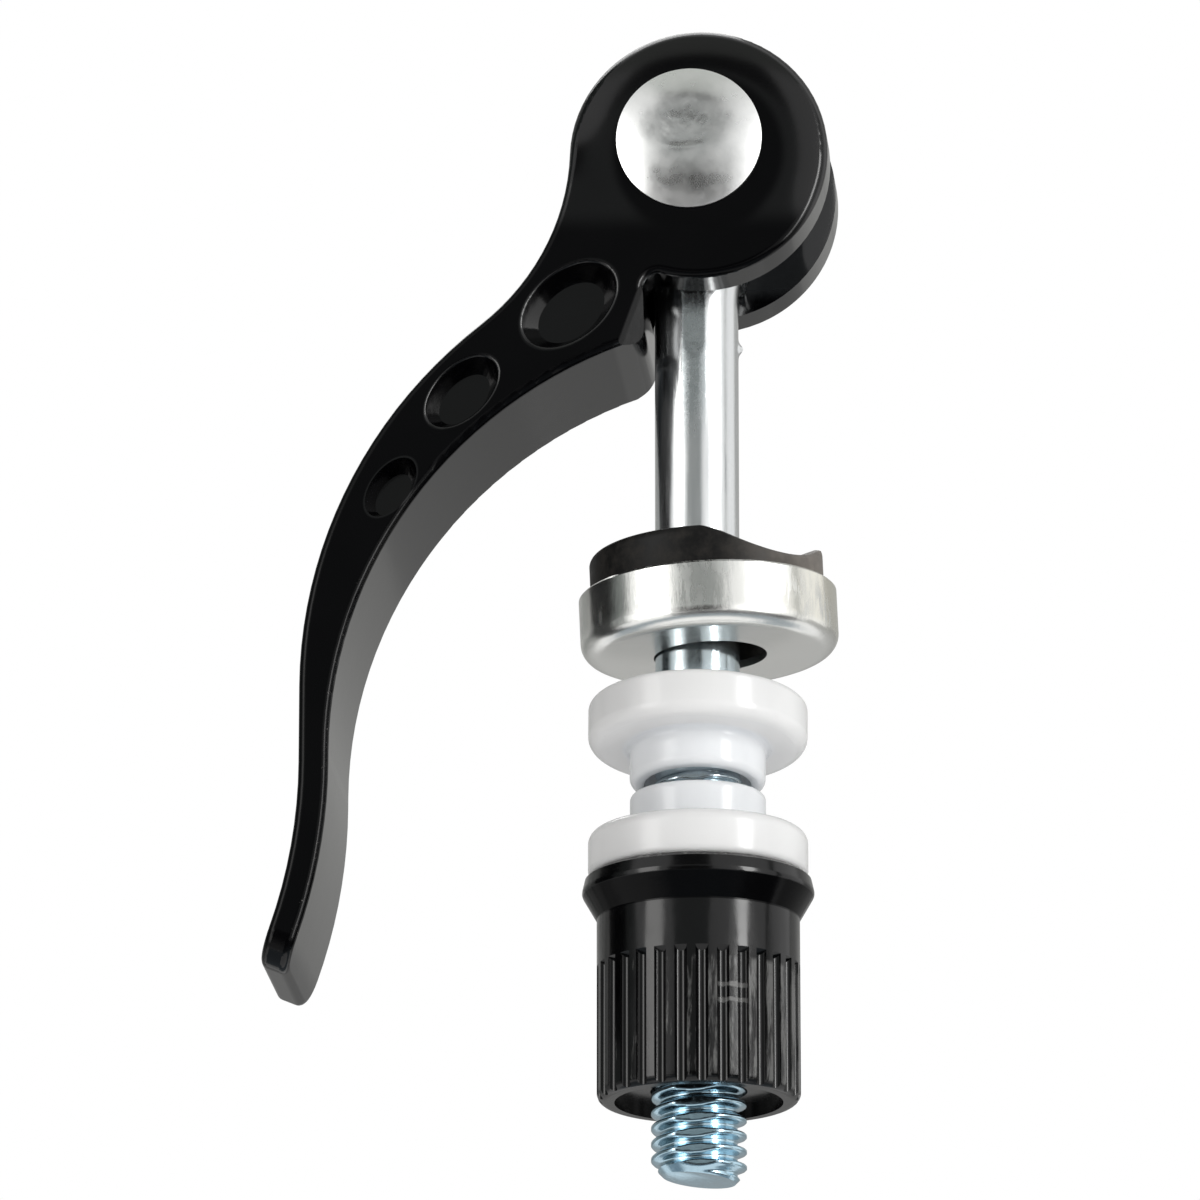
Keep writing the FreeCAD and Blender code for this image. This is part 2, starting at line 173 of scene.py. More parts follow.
# Ranges in millimetres, each from where a part of a finish starts to where it is whole
SIDE_EDGE = (SIDE - 0.5, SIDE - 0.25)
NEAR_EDGE = (0.7 - SIDE, 0.4 - SIDE)
FORK_WIDTH = (3.3, 3.0)
FORK_HEIGHTS = (36.0, 37.0)
HEEL_SIDE = (SIDE - 0.02, SIDE - 0.12)
HEEL_LEFT = (-5.0, -4.6)
HEEL_RIGHT = (-2.6, -2.9)
HEEL_TOP = (37.0, 36.0)
RING_REACH = (HEAD_FLAT - 0.3, HEAD_FLAT + 0.8)
RING_HEIGHTS = (37.5, 40.0)
DOME_HEIGHTS = (38.5, 44.0)
BELLY_START = (3.4, 3.8)
TAIL_START = (3.8, 3.4)
CHIP_HEIGHTS = (21.0, 14.0)
TIP_HEIGHTS = (-8.3, -9.4)
ZINC_LOW = (13.0, 11.0)
ZINC_BLUE_HEIGHTS = (4.0, -8.0)
FLAT_HEIGHTS = (24.0, 29.0)
FLAT_SIDES = (2.54, 2.59)
CUP_WALL = (12.1, 13.0)
CUP_REFLECTION_SIDE = (4.0, 9.0)
SADDLE_LIT_SIDE = (2.0, 8.5)
NECK_REACH = (5.0, 4.4)
GRIP_TOP = (-9.3, -9.7)
RIB_CREST = (6.28, 6.39)
RIM_TOP = (-3.2, -3.1)
SCUFF_NEAR = (0.0, -1.0)

# Bands in millimetres: half width and soft edge, after the middle where it is fixed
CHIPPED_EDGE = (0.25, 0.3)
NUT_CONE = (-5.0, 0.75, 0.1)
SCUFF_LINE = (0.09, 0.1)
SCUFF_SPAN = (2.55, 0.75, 0.3)
SCUFF_HEIGHTS = (-11.2, -12.2)
SCUFF_LIFT = 0.17
SCUFF_WAVE = 0.35

# Levels of noise from where wear starts to where it is whole, and the rise per millimetre of the ribs'
# rubbing towards the right, which paints light onto the nut's lit side
CHIP_LEVELS = (0.63, 0.70)
SPECK_LEVELS = (0.50, 0.62)
RUB_LEVELS = (0.50, 0.68)
RUB_AND_LIGHT_SLOPE = 0.02

# How strongly the black finishes mirror
PAINT_GLOSS = 0.38
SIDE_GLOSS = 0.115
RIM_GLOSS = 0.3
NUT_GLOSS = 0.4
CONE_GLOSS = 0.12

# Colours
WHITE = (1, 1, 1, 1)
PAINT_DARK = (0.0008, 0.0008, 0.0011, 1)
PAINT_LIGHT = (0.0013, 0.0013, 0.0016, 1)
PAINT_CHIP = (0.12, 0.115, 0.11, 1)
# Inside the fork: a painted reflection, lighter than the black paint.
FORK_PAINTED_REFLECTION = (0.014, 0.015, 0.016, 1)
ZINC_DRAWN = (0.66, 0.68, 0.69, 1)
ZINC_BRIGHT = (0.80, 0.81, 0.81, 1)
ZINC_FORGED = (0.55, 0.59, 0.60, 1)
ZINC_COOL = (0.57, 0.65, 0.69, 1)
ZINC_BLUE = (0.50, 0.69, 0.80, 1)
RIVET_DARK = (0.76, 0.77, 0.76, 1)
RIVET_BRIGHT = (0.88, 0.88, 0.87, 1)
CUP_BRIGHT = (0.80, 0.80, 0.77, 1)
# A painted warm reflection on one side of the cup.
CUP_WARM_REFLECTION = (0.82, 0.80, 0.71, 1)
CUP_FLOOR = (0.98, 0.98, 0.95, 1)
CUP_DRAWN = (0.60, 0.61, 0.59, 1)
SADDLE_DARK = (0.006, 0.006, 0.006, 1)
SADDLE_BROWN = (0.022, 0.020, 0.018, 1)
# Painted light: the saddle's lit end is given a lighter brown-grey.
SADDLE_PAINTED_LIGHT = (0.22, 0.20, 0.18, 1)
NYLON_DULL = (0.81, 0.81, 0.81, 1)
NYLON_BRIGHT = (0.83, 0.83, 0.83, 1)
# Painted light: the necks' cooler, brighter colour stands in for the light on them.
NYLON_NECK_PAINTED_LIGHT = (0.84, 0.86, 0.89, 1)
NUT_PAINT = (0.0010, 0.0010, 0.0013, 1)
# Rubbed grey, which also serves as painted glints on the rib crests and painted light on the nut's right
# side.
NUT_WORN_AND_GLINT = (0.10, 0.10, 0.098, 1)
FLOOR_DULL = (0.90, 0.90, 0.90, 1)
FLOOR_PALE = (0.92, 0.92, 0.92, 1)


# Shading helpers

def put(tree, kind, inputs=None, **settings):
    """Adds a node. An input may be a constant or another node's output."""
    made = tree.nodes.new(kind)
    for key, value in settings.items():
        setattr(made, key, value)
    for key, value in (inputs or {}).items():
        if isinstance(value, bpy.types.NodeSocket):
            tree.links.new(value, made.inputs[key])
        else:
            made.inputs[key].default_value = value
    return made


def calc(tree, operation, a, b=0.0):
    """The result of one sum on two values."""
    return put(tree, "ShaderNodeMath", {0: a, 1: b}, operation=operation).outputs[0]


def ease(tree, value, low, high, start=0.0, end=1.0):
    """Goes smoothly from start to end as the value goes from low to high."""
    sockets = {"Value": value, "From Min": low, "From Max": high, "To Min": start, "To Max": end}
    return put(tree, "ShaderNodeMapRange", sockets, interpolation_type="SMOOTHSTEP").outputs[0]


def blend(tree, share, first, second):
    """Mixes two colours."""
    made = put(tree, "ShaderNodeMix", {0: share, 6: first, 7: second}, data_type="RGBA")
    return made.outputs[2]


def place(tree, stretch=(1, 1, 1)):
    """The point on the surface, in millimetres of the object's own frame."""
    coords = put(tree, "ShaderNodeTexCoord").outputs["Object"]
    scale = tuple(part / MM for part in stretch)
    return put(tree, "ShaderNodeMapping", {"Vector": coords, "Scale": scale}).outputs[0]


def grain(tree, size, detail=3.0, stretch=(1, 1, 1), roughness=0.55):
    """Noise whose lumps are about size millimetres across."""
    sockets = {
        "Vector": place(tree, stretch),
        "Scale": 1.0 / size,
        "Detail": detail,
        "Roughness": roughness,
    }
    return put(tree, "ShaderNodeTexNoise", sockets).outputs["Fac"]


def axes(tree):
    """The x, y and z of the surface point, in millimetres."""
    return tuple(put(tree, "ShaderNodeSeparateXYZ", {0: place(tree)}).outputs)


def reach(tree, centre):
    """The distance from a point of the XZ plane, in millimetres."""
    sockets = {0: place(tree, (1, 0, 1)), 1: (centre[0], 0, centre[1])}
    return put(tree, "ShaderNodeVectorMath", sockets, operation="DISTANCE").outputs["Value"]


def reach_from_rod(tree):
    """The distance from the rod's axis, in millimetres."""
    sockets = {0: place(tree, (1, 1, 0))}
    return put(tree, "ShaderNodeVectorMath", sockets, operation="LENGTH").outputs["Value"]


def band(tree, value, middle, half, soft):
    """One within half of the middle value, and nothing beyond a soft edge."""
    off = calc(tree, "ABSOLUTE", calc(tree, "SUBTRACT", value, middle))
    return ease(tree, off, half + soft, half)


def times(tree, *masks):
    """The product of several values."""
    product = masks[0]
    for mask in masks[1:]:
        product = calc(tree, "MULTIPLY", product, mask)
    return product


def most(tree, *masks):
    """The largest of several values."""
    largest = masks[0]
    for mask in masks[1:]:
        largest = calc(tree, "MAXIMUM", largest, mask)
    return largest


def bump(tree, shader, height, strength=1.0):
    """Shades the surface as if it rose by a height in millimetres."""
    sockets = {"Height": height, "Distance": MM, "Strength": strength}
    made = put(tree, "ShaderNodeBump", sockets)
    tree.links.new(made.outputs[0], shader.inputs["Normal"])


def finish_of(name, metallic=0.0, specular=0.5):
    """A new material, its node tree and its shader."""
    made = bpy.data.materials.new(name)
    made.use_nodes = True
    tree = made.node_tree
    shader = tree.nodes["Principled BSDF"]
    shader.inputs["Metallic"].default_value = metallic
    shader.inputs["Specular IOR Level"].default_value = specular
    return made, tree, shader


def feed(tree, shader, **sockets):
    """Links outputs to the shader's inputs, which are named with underscores for spaces."""
    for key, value in sockets.items():
        tree.links.new(value, shader.inputs[key.replace("_", " ")])


# Materials

def pocket_rim(tree, inset, angle, tilt, length, width):
    """The edge of one oval pocket in the lever's sides."""
    turn = math.radians(angle)
    away = BACK_RADIUS - inset
    centre = (BACK_CENTRE[0] + away * math.cos(turn), BACK_CENTRE[1] + away * math.sin(turn))
    sockets = {
        "Vector": put(tree, "ShaderNodeTexCoord").outputs["Object"],
        "Location": (centre[0] * MM, 0, centre[1] * MM),
        "Rotation": (0, -math.radians(tilt), 0),
        "Scale": (length / 2 * MM, 1, width / 2 * MM),
    }
    oval = put(tree, "ShaderNodeMapping", sockets, vector_type="TEXTURE").outputs[0]
    share = put(tree, "ShaderNodeVectorMath", {0: oval}, operation="LENGTH").outputs["Value"]
    return band(tree, share, *POCKET_RIM)


def head_dome(tree, x, z):
    """How far the cheek's face falls away towards its round edge, in millimetres."""
    out = calc(tree, "MINIMUM", reach(tree, HEAD_CENTRE), HEAD_RADIUS)
    past = calc(tree, "MAXIMUM", calc(tree, "SUBTRACT", out, HEAD_FLAT), 0.0)
    slanted = calc(tree, "ADD", z, calc(tree, "MULTIPLY", x, HEAD_SLANT))
    fall = times(tree, past, past, ease(tree, slanted, *DOME_HEIGHTS, 0.0, HEAD_FALL))
    return calc(tree, "MULTIPLY", fall, -1.0)


def lever_gloss(tree, x, y, z, side):
    """How strongly the paint mirrors: least on the flat sides, most on the pocket rims and the heel."""
    rims = times(tree, most(tree, *[pocket_rim(tree, *pocket) for pocket in POCKETS]), side)
    heel = times(tree, ease(tree, x, *HEEL_LEFT), ease(tree, x, *HEEL_RIGHT), ease(tree, z, *HEEL_TOP))
    heel = times(tree, heel, ease(tree, calc(tree, "ABSOLUTE", y), *HEEL_SIDE))
    ring = times(tree, ease(tree, reach(tree, HEAD_CENTRE), *RING_REACH), ease(tree, z, *RING_HEIGHTS))
    dull = times(tree, side, calc(tree, "SUBTRACT", 1.0, ring))
    plain = ease(tree, dull, 0.0, 1.0, PAINT_GLOSS, SIDE_GLOSS)
    return calc(tree, "ADD", plain, calc(tree, "MULTIPLY", most(tree, rims, heel), RIM_GLOSS))


def lever_chips(tree, y, z):
    """Where the paint is chipped: along the near belly edge and at the tip."""
    on_belly = band(tree, reach(tree, BELLY_CENTRE), BELLY_RADIUS, *CHIPPED_EDGE)
    on_tail = band(tree, reach(tree, TAIL_CENTRE), TAIL_RADIUS, *CHIPPED_EDGE)
    belly = times(tree, on_belly, ease(tree, z, *BELLY_START))
    tail = times(tree, on_tail, ease(tree, z, *TAIL_START))
    near = ease(tree, y, *NEAR_EDGE)
    edge = times(tree, most(tree, belly, tail), near, ease(tree, z, *CHIP_HEIGHTS))
    tip = times(tree, ease(tree, z, *TIP_HEIGHTS), near)
    chips = ease(tree, grain(tree, 0.3, 5.0, roughness=0.7), *CHIP_LEVELS)
    return times(tree, most(tree, edge, tip), chips)


def lever_paint():
    """Gloss black paint, thin on the pocket rims, chipped low down, and lighter inside the fork where a
    reflection is painted in.
    """
    made, tree, shader = finish_of("lever_paint", specular=0.3)
    x, y, z = axes(tree)
    across = calc(tree, "ABSOLUTE", y)
    side = ease(tree, across, *SIDE_EDGE)
    inside = times(tree, ease(tree, across, *FORK_WIDTH), ease(tree, z, *FORK_HEIGHTS))
    tint = ease(tree, grain(tree, 6.0, 2.0), 0.3, 0.7)
    black = blend(tree, tint, PAINT_DARK, PAINT_LIGHT)
    # Inside the fork the black is lifted to a painted reflection.
    with_fork_reflection = blend(tree, inside, black, FORK_PAINTED_REFLECTION)
    colour = blend(tree, lever_chips(tree, y, z), with_fork_reflection, PAINT_CHIP)
    smear = ease(tree, grain(tree, 3.5, 3.0), 0.25, 0.75, 0.10, 0.13)
    rough = calc(tree, "ADD", smear, calc(tree, "MULTIPLY", side, 0.075))
    gloss = lever_gloss(tree, x, y, z, side)
    feed(tree, shader, Base_Color=colour, Roughness=rough, Specular_IOR_Level=gloss)
    peel = calc(tree, "MULTIPLY", grain(tree, 0.8, 2.0), 0.003)
    bump(tree, shader, calc(tree, "ADD", peel, head_dome(tree, x, z)))
    return made


def zinc():
    """Bright zinc plate: bluish low down, drawn along the shank, scaly on the forged flats."""
    made, tree, shader = finish_of("zinc", metallic=1.0)
    _, y, z = axes(tree)
    low = ease(tree, z, *ZINC_LOW)
    flat = times(tree, ease(tree, z, *FLAT_HEIGHTS), ease(tree, calc(tree, "ABSOLUTE", y), *FLAT_SIDES))
    scale = grain(tree, 0.45, 6.0, roughness=0.7)
    streak = grain(tree, 0.25, 4.0, stretch=(1, 1, 0.06))
    plain = blend(tree, streak, ZINC_DRAWN, ZINC_BRIGHT)
    forged = blend(tree, flat, plain, ZINC_FORGED)
    blue = blend(tree, ease(tree, z, *ZINC_BLUE_HEIGHTS), ZINC_COOL, ZINC_BLUE)
    colour = blend(tree, low, forged, blue)
    scaly = ease(tree, scale, 0.35, 0.7, -0.02, 0.10)
    plain_rough = ease(tree, streak, 0.3, 0.7, 0.19, 0.27)
    low_rough = calc(tree, "MULTIPLY", low, ease(tree, scale, 0.3, 0.7, -0.10, 0.02))
    rough = calc(tree, "ADD", calc(tree, "ADD", plain_rough, low_rough), times(tree, flat, scaly))
    feed(tree, shader, Base_Color=colour, Roughness=rough)
    pitted = times(tree, most(tree, flat, calc(tree, "MULTIPLY", low, 0.25)), scale, 0.025)
    bump(tree, shader, calc(tree, "ADD", pitted, calc(tree, "MULTIPLY", streak, 0.003)), 0.7)
    return made


def rivet_steel():
    """Plated steel, satin and pitted where the press mark is."""
    made, tree, shader = finish_of("rivet_steel", metallic=1.0)
    fine = grain(tree, 0.2, 5.0, roughness=0.7)
    broad = grain(tree, 1.4, 4.0, roughness=0.6)
    colour = blend(tree, broad, RIVET_DARK, RIVET_BRIGHT)
    feed(tree, shader, Base_Color=colour, Roughness=ease(tree, broad, 0.3, 0.7, 0.26, 0.36))
    height = calc(tree, "ADD", calc(tree, "MULTIPLY", fine, 0.004), calc(tree, "MULTIPLY", broad, 0.012))
    bump(tree, shader, height, 0.6)
    return made


def cup_steel():
    """Bright plate over pressed steel: uneven draw marks up the wall, a satin floor, and a painted warm
    reflection to one side.
    """
    made, tree, shader = finish_of("cup_steel", metallic=1.0)
    x, _, z = axes(tree)
    wall = ease(tree, z, *CUP_WALL)
    drawn = grain(tree, 0.5, 6.0, stretch=(1, 1, 0.18), roughness=0.7)
    patch = ease(tree, grain(tree, 2.6, 2.0, stretch=(1, 1, 0.4)), 0.42, 0.62)
    marks = times(tree, ease(tree, drawn, 0.40, 0.60), patch, wall)
    # The plate turns to a painted warm reflection towards one side.
    bright = blend(tree, ease(tree, x, *CUP_REFLECTION_SIDE), CUP_BRIGHT, CUP_WARM_REFLECTION)
    sheet = blend(tree, wall, CUP_FLOOR, bright)
    colour = blend(tree, marks, sheet, CUP_DRAWN)
    floor_rough = calc(tree, "MULTIPLY", calc(tree, "SUBTRACT", 1.0, wall), 0.06)
    rough = calc(tree, "ADD", ease(tree, marks, 0.0, 1.0, 0.20, 0.42), floor_rough)
    feed(tree, shader, Base_Color=colour, Roughness=rough)
    dents = calc(tree, "MULTIPLY", grain(tree, 1.8), 0.03)
    relief = calc(tree, "ADD", times(tree, drawn, wall, 0.010), dents)
    bump(tree, shader, relief, 0.7)
    return made


def saddle_plastic():
    """Dull brown-black moulding with a mottled skin, and painted light towards its low end, on its lit
    side.
    """
    made, tree, shader = finish_of("saddle_plastic", specular=0.15)
    x, _, _ = axes(tree)
    mottle = grain(tree, 1.1, 6.0, roughness=0.65)
    dark = blend(tree, ease(tree, mottle, 0.35, 0.7), SADDLE_DARK, SADDLE_BROWN)
    # Painted light, mottled, growing towards the lit low end.
    painted_light = times(tree, ease(tree, x, *SADDLE_LIT_SIDE), ease(tree, mottle, 0.2, 0.8, 0.6, 1.0))
    colour = blend(tree, painted_light, dark, SADDLE_PAINTED_LIGHT)
    feed(tree, shader, Base_Color=colour, Roughness=ease(tree, mottle, 0.3, 0.7, 0.42, 0.58))
    bump(tree, shader, calc(tree, "MULTIPLY", grain(tree, 0.3, 4.0), 0.012), 0.5)
    return made


def nylon():
    """White nylon: a little light passes through it, and the moulded skin is satin; the necks carry painted
    cool light, brighter and bluer than the flanges.
    """
    made, tree, shader = finish_of("nylon", specular=0.4)
    cloud = grain(tree, 5.0, 3.0)
    flange = blend(tree, cloud, NYLON_DULL, NYLON_BRIGHT)
    # Painted light on the necks: a brighter, bluish colour.
    neck = ease(tree, reach_from_rod(tree), *NECK_REACH)
    colour = blend(tree, neck, flange, NYLON_NECK_PAINTED_LIGHT)
    shader.inputs["Subsurface Weight"].default_value = 0.8
    shader.inputs["Subsurface Radius"].default_value = (1.0, 1.0, 1.0)
    shader.inputs["Subsurface Scale"].default_value = 1.4 * MM
    feed(tree, shader, Base_Color=colour, Roughness=ease(tree, grain(tree, 2.5), 0.3, 0.7, 0.15, 0.22))
    bump(tree, shader, calc(tree, "MULTIPLY", grain(tree, 1.2, 2.0), 0.003), 0.5)
    return made


def scuff(tree, x, y, z, height):
    """A short mark rubbed across the near ribs."""
    lifted = calc(tree, "ADD", z, calc(tree, "MULTIPLY", grain(tree, 0.6, 3.0), SCUFF_WAVE))
    along = band(tree, lifted, height + SCUFF_LIFT, *SCUFF_LINE)
    return times(tree, along, band(tree, x, *SCUFF_SPAN), ease(tree, y, *SCUFF_NEAR))


def nut_wear_and_glints(tree, x, y, z):
    """Where the nut is rubbed: on its rib crests, in specks on the rim and at two short marks; the crests
    also carry painted glints, and their rubbing grows to the right as painted light.
    """
    streaks = grain(tree, 0.4, 5.0, stretch=(1, 1, 0.12), roughness=0.7)
    # Painted light: the rubbing grows towards the right, where the nut is lit.
    rub_and_light = ease(tree, calc(tree, "ADD", streaks, calc(tree, "MULTIPLY", x, RUB_AND_LIGHT_SLOPE)), *RUB_LEVELS)
    # The rib crests take painted glints as well as wear.
    crests = ease(tree, reach_from_rod(tree), *RIB_CREST)
    ribs = times(tree, crests, ease(tree, z, *GRIP_TOP), rub_and_light)
    specks = ease(tree, grain(tree, 0.4, 5.0, roughness=0.7), *SPECK_LEVELS)
    rim = times(tree, ease(tree, z, *RIM_TOP), specks)
    scuffs = most(tree, *[scuff(tree, x, y, z, height) for height in SCUFF_HEIGHTS])
    return most(tree, ribs, rim, scuffs)


def nut_black():
    """Gloss black with grey rubbed ribs, which also carry painted glints and painted light to the right,
    and duller on the cone under the collar.
    """
    made, tree, shader = finish_of("nut_black", specular=NUT_GLOSS)
    x, y, z = axes(tree)
    wear_and_glint = nut_wear_and_glints(tree, x, y, z)
    colour = blend(tree, wear_and_glint, NUT_PAINT, NUT_WORN_AND_GLINT)
    skin = ease(tree, grain(tree, 2.0), 0.3, 0.7, 0.14, 0.20)
    rough = calc(tree, "ADD", skin, calc(tree, "MULTIPLY", wear_and_glint, 0.12))
    gloss = ease(tree, band(tree, z, *NUT_CONE), 0.0, 1.0, NUT_GLOSS, CONE_GLOSS)
    feed(tree, shader, Base_Color=colour, Roughness=rough, Specular_IOR_Level=gloss)
    bump(tree, shader, calc(tree, "MULTIPLY", grain(tree, 0.5, 3.0), 0.004))
    return made


def seen_or_mirrored(tree):
    """One for what the camera, metal and clear pieces see, and nothing for the light that is shed."""
    path = put(tree, "ShaderNodeLightPath").outputs
    return most(tree, path["Is Camera Ray"], path["Is Glossy Ray"], path["Is Transmission Ray"])


def floor_paint():
    """Pale paint that takes a soft shadow near the object and fades into the white backdrop far off."""
    made, tree, shader = finish_of("floor_paint", specular=0.1)
    tone = grain(tree, 300.0, 2.0)
    feed(tree, shader, Base_Color=blend(tree, tone, FLOOR_DULL, FLOOR_PALE))
    shader.inputs["Roughness"].default_value = 0.9
    backdrop = ease(tree, reach_from_rod(tree), *BACKDROP_REACH, BACKDROP_SHARE, 1.0)
    share = calc(tree, "MULTIPLY", seen_or_mirrored(tree), backdrop)
    white = put(tree, "ShaderNodeEmission", {"Color": WHITE, "Strength": 1.0})
    mixed = put(tree, "ShaderNodeMixShader", {0: share, 1: shader.outputs[0], 2: white.outputs[0]})
    tree.links.new(mixed.outputs[0], tree.nodes["Material Output"].inputs["Surface"])
    return made


def glow(name, colour):
    """A plain shade that only mirrors see."""
    made = bpy.data.materials.new(name)
    made.use_nodes = True
    tree = made.node_tree
    tree.nodes.remove(tree.nodes["Principled BSDF"])
    shade = put(tree, "ShaderNodeEmission", {"Color": (*colour, 1), "Strength": 1.0})
    tree.links.new(shade.outputs[0], tree.nodes["Material Output"].inputs["Surface"])
    return made


# Meshes

def new_piece(name, mesh_data, body, finish):
    """Makes a shown piece that rides on a body."""
    mesh = bpy.data.meshes.new(name)
    mesh_data.to_mesh(mesh)
    mesh_data.free()
    mesh.materials.append(finish)
    for face in mesh.polygons:
        face.use_smooth = True
    mesh.set_sharp_from_angle(angle=math.radians(SHARP_ANGLE))
    piece = bpy.data.objects.new(name, mesh)
    bpy.context.scene.collection.objects.link(piece)
    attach(piece, body)
    return piece


def smooth(value):
    """Eases from 0 to 1."""
    held = min(1.0, max(0.0, value))
    return held * held * (3 - 2 * held)


def thread_radius(share, height, top):
    """The rolled thread, which fades into the plain shank; share is the place across one pitch."""
    flank = smooth((abs(2 * share - 1) - THREAD_TROUGH) / THREAD_FLANK)
    cut = THREAD_ROOT + (THREAD_RADIUS - THREAD_ROOT) * flank
    fade = min(1.0, max(0.0, (top - height) / THREAD_FADE))
    return SHANK_RADIUS + (cut - SHANK_RADIUS) * fade


def flat_limit(angle, height):
    """How far out the forged flats let the shank go."""
    depth = FLAT_DEPTH * min(1.0, max(0.0, (height - FLAT_LOW) / FLAT_RUN_OUT))
    return (SHANK_RADIUS - depth) / max(FLAT_LEAST_SINE, abs(math.sin(angle)))


def burr(angle, height):
    """A crumb of plate left on the shank's right edge."""
    up = (height - BURR_PLACE) / BURR_REACH
    around = math.sin(angle / 2) / BURR_SPREAD
    return BURR_HEIGHT * math.exp(-up * up - around * around)


def eye_flare(height):
    """How much the shank grows into the eye, across the rod and along the pin."""
    up = max(0.0, height - EYE_FOOT)
    wide = EYE_FLARE - math.sqrt(EYE_FLARE ** 2 - up ** 2)
    thick = (EYE_HALF - SHANK_RADIUS) * smooth(up / (SHANK_TOP - EYE_FOOT))
    return wide, thick


def rod_end(angle, low):
    """The height of the rod's end, which is sheared at a slant."""
    return low + END_SLANT * (1 - math.cos(angle)) / 2


def rod_mesh(low, join):
    """The rod from its end to a plain ring at the join, on a grid that follows the thread's helix."""
    top = low + THREAD_LENGTH
    built = bmesh.new()
    rows = int((join - low) / PITCH * ROWS_PER_TURN) + 2 * ROWS_PER_TURN
    grid = []
    for row in range(rows):
        share = row % ROWS_PER_TURN / ROWS_PER_TURN
        ring = []
        for column in range(ROD_COLUMNS):
            turn = column / ROD_COLUMNS
            angle = 2 * math.pi * turn
            end = rod_end(angle, low)
            height = low + PITCH * (row / ROWS_PER_TURN - 1 + turn)
            height = min(join, max(end, height))
            chamfered = THREAD_RADIUS - END_CHAMFER + height - end
            radius = min(thread_radius(share, height, top), flat_limit(angle, height), chamfered)
            radius += burr(angle, height)
            wide, thick = eye_flare(height)
            x = (radius + wide) * math.cos(angle)
            y = (radius + thick) * math.sin(angle)
            ring.append(built.verts.new((x, y, height)))
        grid.append(ring)
    for row in range(rows - 1):
        for column in range(ROD_COLUMNS - 1):
            after = column + 1
            lower = (grid[row][column], grid[row][after])
            built.faces.new(lower + (grid[row + 1][after], grid[row + 1][column]))
        up = row + ROWS_PER_TURN
        if up + 1 < rows:
            built.faces.new((grid[row][-1], grid[up][0], grid[up + 1][0], grid[row + 1][-1]))
    bmesh.ops.remove_doubles(built, verts=built.verts, dist=TINY)
    bmesh.ops.dissolve_degenerate(built, edges=built.edges, dist=TINY)
    return built


def open_edges(built, low, high):
    """The edges between two heights that have a face on one side only."""
    found = []
    for edge in built.edges:
        level = all(low - LEVEL < vert.co.z < high + LEVEL for vert in edge.verts)
        if level and len(edge.link_faces) == 1:
            found.append(edge)
    return found


def skewer_rod(finish):
    """The forged eye above, welded to the drawn shank and rolled thread below."""
    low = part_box("skewer_rod")[0].z
    built = rod_mesh(low, SHANK_TOP)
    bmesh.ops.holes_fill(built, edges=open_edges(built, low, low + END_SLANT), sides=0)

    upper = bmesh.new()
    upper.from_mesh(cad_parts["skewer_rod"].data)
    bmesh.ops.remove_doubles(upper, verts=upper.verts, dist=TINY)
    everything = upper.verts[:] + upper.edges[:] + upper.faces[:]
    bmesh.ops.bisect_plane(
        upper, geom=everything, plane_co=(0, 0, SHANK_TOP), plane_no=(0, 0, 1), clear_inner=True
    )
    eye = bpy.data.meshes.new("eye")
    upper.to_mesh(eye)
    upper.free()
    built.from_mesh(eye)
    bpy.data.meshes.remove(eye)
    bmesh.ops.bridge_loops(built, edges=open_edges(built, SHANK_TOP, SHANK_TOP))
    bmesh.ops.recalc_face_normals(built, faces=built.faces)
    piece = new_piece("skewer_rod_threaded", built, "skewer", finish)
    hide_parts("skewer_rod")
    return piece


def press_mark(x, z, side):
    """How deep the riveting tool pressed the head at a point, in metres."""
    u = (x - MARK_CENTRE.x) / MARK_REACH.x
    v = (z - MARK_CENTRE.y) / MARK_REACH.y
    dish = math.exp(-(u * u + v * v) ** 2)
    point = Vector((x, z, side * SIDE_STEP))
    rough = noise.fractal(point / PIT_SIZE, PIT_FADE, PIT_FINER, PIT_LAYERS)
    swell = noise.noise(point / SWELL_SIZE)
    lip_u = (x - LIP_PLACE.x) / LIP_REACH
    lip_v = (z - LIP_PLACE.y - LIP_BEND * lip_u ** 2) / LIP_WIDTH
    lip = LIP_HEIGHT * math.exp(-lip_u ** 4 - lip_v ** 2)
    pressed = dish * (MARK_DISH + PIT_SHARE * rough) + SWELL_SHARE * (swell + 1)
    return MARK_DEPTH * pressed - lip


def rivet_head(built, side, low, high):
    """One domed head as rings from its pole to its rim; returns the rim's ring."""
    middle = (low + high) / 2
    radius = (high.x - low.x) / 2
    height = PIN_HEAD_HEIGHT - PIN_HEAD_EDGE
    dome = (radius ** 2 + height ** 2) / (2 * height)
    tip = high.y
    pole = built.verts.new((0, side * (tip - press_mark(0, 0, side)), middle.z))
    previous = None
    for ring_index in range(1, RIVET_RINGS + 1):
        r = radius * ring_index / RIVET_RINGS
        ring = []
        for step in range(RIVET_SEGMENTS):
            angle = 2 * math.pi * step / RIVET_SEGMENTS
            x = r * math.cos(angle)
            z = r * math.sin(angle)
            y = tip - dome + math.sqrt(dome ** 2 - r ** 2) - press_mark(x, z, side)
            ring.append(built.verts.new((x, side * y, middle.z + z)))
        join_rings(built, previous, ring, pole)
        previous = ring
    return previous


def join_rings(built, first, second, pole=None):
    """Faces between two rings, or between a pole and the first ring."""
    count = len(second)
    for step in range(count):
        after = (step + 1) % count
        if first is None:
            built.faces.new((pole, second[step], second[after]))
        else:
            built.faces.new((first[step], second[step], second[after], first[after]))


def ring_at(built, radius, y, z):
    """A ring of points about the pin's axis."""
    ring = []
    for step in range(RIVET_SEGMENTS):
        angle = 2 * math.pi * step / RIVET_SEGMENTS
        ring.append(built.verts.new((radius * math.cos(angle), y, z + radius * math.sin(angle))))
    return ring


